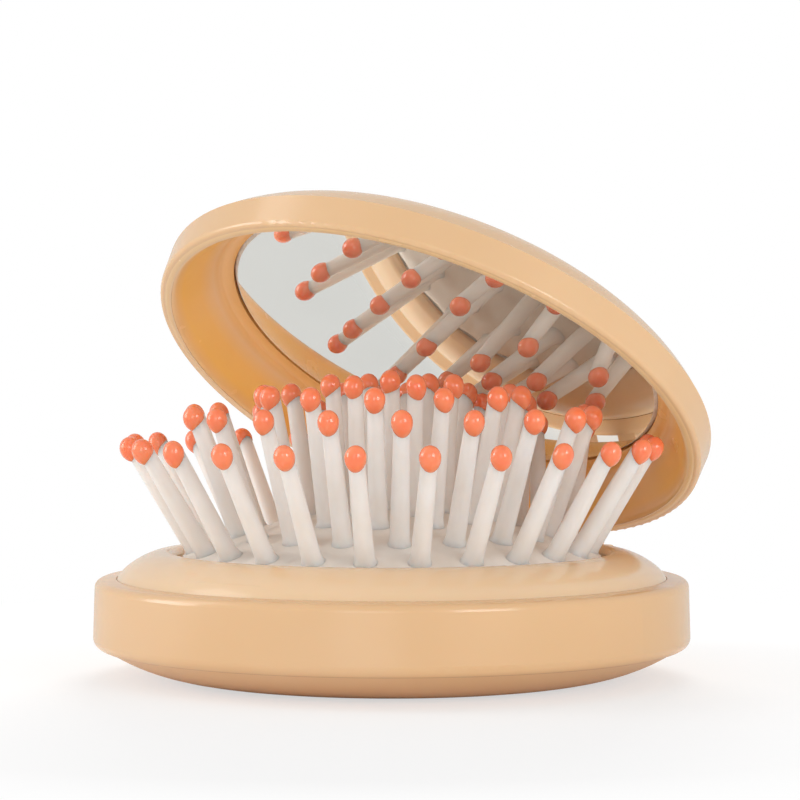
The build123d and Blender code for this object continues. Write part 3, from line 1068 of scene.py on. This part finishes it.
# ---------------------------------------------------------------- lid
@dataclass
class LidHalf:
    """Cap, inner frame, mirror glass and what holds it."""

    places: Places = field(default_factory=Places)
    mirror_radius: float = 32.3
    mirror_thickness: float = 0.9
    seam_width: float = 0.6
    lip_inner: float = 39.0
    # The frame's outline: distance out from the glass's edge or from lip_inner, and depth.
    ledge_top: Point = (1.65, 6.95)
    ledge_foot: Point = (0.0, 7.72)
    ledge_bulge: float = 0.2
    ledge_points: int = 6
    flank_leaves: Point = (-1.3, 1.9)
    flank_comes_from: Point = (-2.8, 4.5)
    flank_points: int = 14
    bead: tuple[Point, ...] = (
        (1.0, 0.03),
        (0.9, -0.02),
        (0.5, -0.03),
        (0.15, 0.02),
        (-0.15, 0.16),
        (-0.38, 0.4),
        (-0.62, 0.8),
    )
    hidden_by_glass: tuple[Point, ...] = ((0.06, 7.76), (0.2, 8.4))
    hidden_by_cap: tuple[Point, ...] = ((-4.45, 9.4), (-1.8, 4.1), (-0.1, 1.2), (0.5, 0.1))
    round_steps: int = 160

    def build_mirror(self) -> None:
        """Silvered glass with a stone-ground edge."""
        low = self.places.lip_z + self.places.mirror_depth
        high = low + self.mirror_thickness
        flat = self.mirror_radius - self.seam_width
        face = [(0, low), (flat / 2, low), (flat, low)]
        edge = [
            (flat, low),
            (self.mirror_radius, low + self.seam_width),
            (self.mirror_radius, high),
            (flat, high),
            (0, high),
        ]
        parts = (("mirror_face", face, MIRROR_SILVER), ("mirror_edge", edge, GROUND_GLASS))
        for name, outline, finish in parts:
            made = lathe(outline, self.round_steps)
            bmesh.ops.transform(made, matrix=self.places.opened(), verts=made.verts)
            piece = mesh_object(name, made, finish, flat_above=30)
            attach(piece, "lid")
            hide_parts("mirror")
            report(piece)

    def frame_outline(self) -> list[Point]:
        """Bead over the lip, golden flank, ledge round the glass and the hidden side.

        Returns:
            The closed outline, as radius and depth below the lip.
        """
        ledge_top, ledge_foot, *by_glass = (
            (self.mirror_radius + out, depth)
            for out, depth in (self.ledge_top, self.ledge_foot, *self.hidden_by_glass)
        )
        leaves, comes_from, *by_lip = (
            (self.lip_inner + out, depth)
            for out, depth in (
                self.flank_leaves,
                self.flank_comes_from,
                *self.bead,
                *self.hidden_by_cap,
            )
        )
        bead, by_cap = by_lip[: len(self.bead)], by_lip[len(self.bead) :]
        flank = swept(bead[-1], leaves, comes_from, ledge_top, self.flank_points)
        ledge = arc(ledge_top, ledge_foot, self.ledge_bulge, self.ledge_points)
        return bead + flank + ledge + by_glass + by_cap

    def build_frame(self) -> None:
        """The lid's inner wall, which holds the glass."""
        low = self.places.lip_z
        outline = [(radius, low + depth) for radius, depth in self.frame_outline()]
        made = lathe(outline, self.round_steps, closed=True)
        bmesh.ops.transform(made, matrix=self.places.opened(), verts=made.verts)
        piece = mesh_object("lid_frame_wall", made, FRAME_ABS, flat_above=50)
        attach(piece, "lid")
        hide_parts("lid_frame")
        report(piece)

    def build(self) -> None:
        """Builds the mirror and the frame and dresses the rest."""
        self.build_mirror()
        self.build_frame()
        for node in ("lid_shell", "left_hinge_link", "right_hinge_link"):
            dress(node, SHELL_ABS)
        for node in ("lid_keeper", "base_hinge_pin", "lid_hinge_pin"):
            dress(node, GROUND_STEEL)
        dress("mirror_adhesive", FOAM)


# ---------------------------------------------------------------- studio
@dataclass(frozen=True)
class Softbox:
    """A square lamp that faces the object: place and side in millimetres, power in watts."""

    name: str
    spot: Point3
    side: float
    power: float
    mirrored: bool = True


SOFTBOXES = (
    Softbox("left_softbox", (-530, -380, 170), 300, 1.3),
    Softbox("top_left_softbox", (-420, -300, 420), 250, 0.35),
    Softbox("right_softbox", (590, -190, 170), 250, 1.1),
    Softbox("front_softbox", (300, -560, 120), 250, 0.45),
    Softbox("back_softbox", (-300, 480, 350), 300, 2.6, mirrored=False),
)


@dataclass
class Studio:
    """Pale floor, soft light and the camera, whose angles are in radians and clipping in metres."""

    image_pixels: float = 800.0
    focal_pixels: float = 2982.3
    azimuth: float = 0.6483
    pitch: float = 0.024
    distance: float = 420.0
    sideways: float = 1.147
    camera_z: float = 48.83
    sensor: float = 36.0
    clip_near: float = 0.05
    clip_far: float = 10.0
    aim_z: float = 30.0
    world_strength: float = 0.62
    mirrored_white: float = 0.73
    floor_reach: float = 3000.0
    fibre_mm: float = 2.0
    fibre_depth_mm: float = 0.02
    paper_tone: str = "#F8F8F8"
    # Where the paper turns from a lit surface to plain white, for the eye and in a gloss.
    paper_near: float = 60.0
    paper_far: float = 130.0
    mirrored_near: float = 44.0
    mirrored_far: float = 56.0
    # Share of plain white that the eye sees close to the object, so that the shadow stays light.
    paper_white: float = 0.6
    wall_bounces: int = 10

    def build_camera(self) -> None:
        """Sets the camera where the object is seen from."""
        data = bpy.data.cameras.new("camera")
        data.sensor_width = self.sensor
        data.lens = self.focal_pixels / self.image_pixels * self.sensor
        data.clip_start, data.clip_end = self.clip_near, self.clip_far
        camera = bpy.data.objects.new("camera", data)
        bpy.context.scene.collection.objects.link(camera)
        right = Vector((math.cos(self.azimuth), math.sin(self.azimuth), 0))
        level = Vector((-math.sin(self.azimuth), math.cos(self.azimuth), 0))
        ahead = level * math.cos(self.pitch) - Vector((0, 0, math.sin(self.pitch)))
        up = right.cross(ahead)
        spot = right * self.sideways - level * self.distance + Vector((0, 0, self.camera_z))
        turn = Matrix((right, up, -ahead)).transposed().to_4x4()
        camera.matrix_world = Matrix.Translation(spot * MM) @ turn
        bpy.context.scene.camera = camera

    def build_floor(self) -> None:
        """A wide sheet of white paper under the object."""
        made = bmesh.new()
        bmesh.ops.create_grid(made, x_segments=1, y_segments=1, size=self.floor_reach)
        bmesh.ops.scale(made, vec=(MM, MM, MM), verts=made.verts)
        data = bpy.data.meshes.new("floor")
        made.to_mesh(data)
        made.free()
        data.materials.append(self.paper())
        floor = bpy.data.objects.new("floor", data)
        bpy.context.scene.collection.objects.link(floor)

    def paper(self) -> bpy.types.Material:
        """Matt paper that fades to plain white away from the object but keeps its shadow.

        Returns:
            The floor's material.
        """
        made = bpy.data.materials.new("studio_paper")
        made.use_nodes = True
        tree = made.node_tree
        tree.nodes.clear()
        place = add_node(tree, "ShaderNodeTexCoord").outputs["Object"]
        fibre = add_node(
            tree, "ShaderNodeTexNoise", {"Vector": place, "Scale": per_metre(self.fibre_mm)}
        )
        bump = add_node(
            tree,
            "ShaderNodeBump",
            {
                "Height": fibre.outputs["Fac"],
                "Distance": self.fibre_depth_mm * MM,
                "Strength": 1.0,
            },
        )
        matt = add_node(
            tree,
            "ShaderNodeBsdfDiffuse",
            {"Color": to_linear(self.paper_tone), "Normal": bump.outputs[0]},
        )
        white = add_node(
            tree, "ShaderNodeEmission", {"Color": (1, 1, 1, 1), "Strength": self.whiteness(tree)}
        )
        mix = add_node(
            tree,
            "ShaderNodeMixShader",
            {0: self.white_share(tree, place), 1: matt.outputs[0], 2: white.outputs[0]},
        )
        add_node(tree, "ShaderNodeOutputMaterial", {"Surface": mix.outputs[0]})
        return made

    def white_share(
        self, tree: bpy.types.NodeTree, place: bpy.types.NodeSocket
    ) -> bpy.types.NodeSocket:
        """How much of the paper is plain white.

        Args:
            tree: The material's nodes.
            place: Object coordinates.

        Returns:
            The share, 0 where the paper is only lit.
        """
        away = add_node(tree, "ShaderNodeVectorMath", {0: place}, operation="LENGTH").outputs["Value"]
        path = add_node(tree, "ShaderNodeLightPath").outputs
        far = self.faded(tree, away, self.paper_near, self.paper_far)
        far = combined(tree, "MULTIPLY", far, self.seen_or_mirrored(tree))
        near = combined(tree, "MULTIPLY", path["Is Camera Ray"], self.paper_white)
        mirrored = self.faded(tree, away, self.mirrored_near, self.mirrored_far)
        mirrored = combined(tree, "MULTIPLY", mirrored, path["Is Glossy Ray"])
        return combined(tree, "MAXIMUM", far, combined(tree, "MAXIMUM", near, mirrored))

    def faded(
        self, tree: bpy.types.NodeTree, away: bpy.types.NodeSocket, near: float, far: float
    ) -> bpy.types.NodeSocket:
        """Rises softly from 0 to 1 with the distance from the middle.

        Args:
            tree: The material's nodes.
            away: The distance, in metres.
            near: Where the rise starts, in millimetres.
            far: Where it ends, in millimetres.

        Returns:
            The share.
        """
        rise = add_node(
            tree,
            "ShaderNodeMapRange",
            {"Value": away, "From Min": near * MM, "From Max": far * MM},
            interpolation_type="SMOOTHSTEP",
        )
        return rise.outputs[0]

    def seen_or_mirrored(self, tree: bpy.types.NodeTree) -> bpy.types.NodeSocket:
        """Tells rays that show a surface to the eye or in a gloss from those that light it.

        Args:
            tree: The material's or the world's nodes.

        Returns:
            1 where the surface is seen or mirrored, 0 where it gives light.
        """
        path = add_node(tree, "ShaderNodeLightPath").outputs
        gloss = combined(tree, "MAXIMUM", path["Is Glossy Ray"], path["Is Transmission Ray"])
        return combined(tree, "MAXIMUM", path["Is Camera Ray"], gloss)

    def whiteness(self, tree: bpy.types.NodeTree) -> bpy.types.NodeSocket:
        """Strength of the studio's white: full to the eye, a little dimmer in a mirror."""
        path = add_node(tree, "ShaderNodeLightPath").outputs
        return combined(tree, "MAXIMUM", path["Is Camera Ray"], self.mirrored_white)

    def build_world(self) -> None:
        """Even light from all round, plain white where it is seen."""
        world = bpy.data.worlds.new("studio")
        world.use_nodes = True
        tree = world.node_tree
        tree.nodes.clear()
        sky = add_node(
            tree,
            "ShaderNodeBackground",
            {"Color": (1, 1, 1, 1), "Strength": self.world_strength},
        )
        white = add_node(
            tree, "ShaderNodeBackground", {"Color": (1, 1, 1, 1), "Strength": self.whiteness(tree)}
        )
        mix = add_node(
            tree,
            "ShaderNodeMixShader",
            {0: self.seen_or_mirrored(tree), 1: sky.outputs[0], 2: white.outputs[0]},
        )
        add_node(tree, "ShaderNodeOutputWorld", {"Surface": mix.outputs[0]})
        bpy.context.scene.world = world

    def build_lamp(self, box: Softbox) -> None:
        """Hangs one softbox.

        Args:
            box: What it is like and where it stands.
        """
        data = bpy.data.lights.new(box.name, "AREA")
        data.size = box.side * MM
        data.energy = box.power
        lamp = bpy.data.objects.new(box.name, data)
        aim = Vector((0, 0, self.aim_z)) - Vector(box.spot)
        lamp.location = Vector(box.spot) * MM
        lamp.rotation_euler = aim.to_track_quat("-Z", "Y").to_euler()
        lamp.visible_glossy = box.mirrored
        bpy.context.scene.collection.objects.link(lamp)

    def build(self) -> None:
        """Builds the whole studio."""
        self.build_camera()
        self.build_floor()
        self.build_world()
        for box in SOFTBOXES:
            self.build_lamp(box)
        scene = bpy.context.scene
        scene.view_settings.view_transform = "Standard"
        scene.cycles.diffuse_bounces = self.wall_bounces
        scene.cycles.max_bounces = 2 * self.wall_bounces


def main() -> None:
    """Builds every sub-assembly in order."""
    logging.basicConfig(level=logging.INFO, format="%(name)s: %(message)s")
    for assembly in (BaseHalf(), BristleBed(), LidHalf(), Studio()):
        assembly.build()


if __name__ == "__main__":
    main()
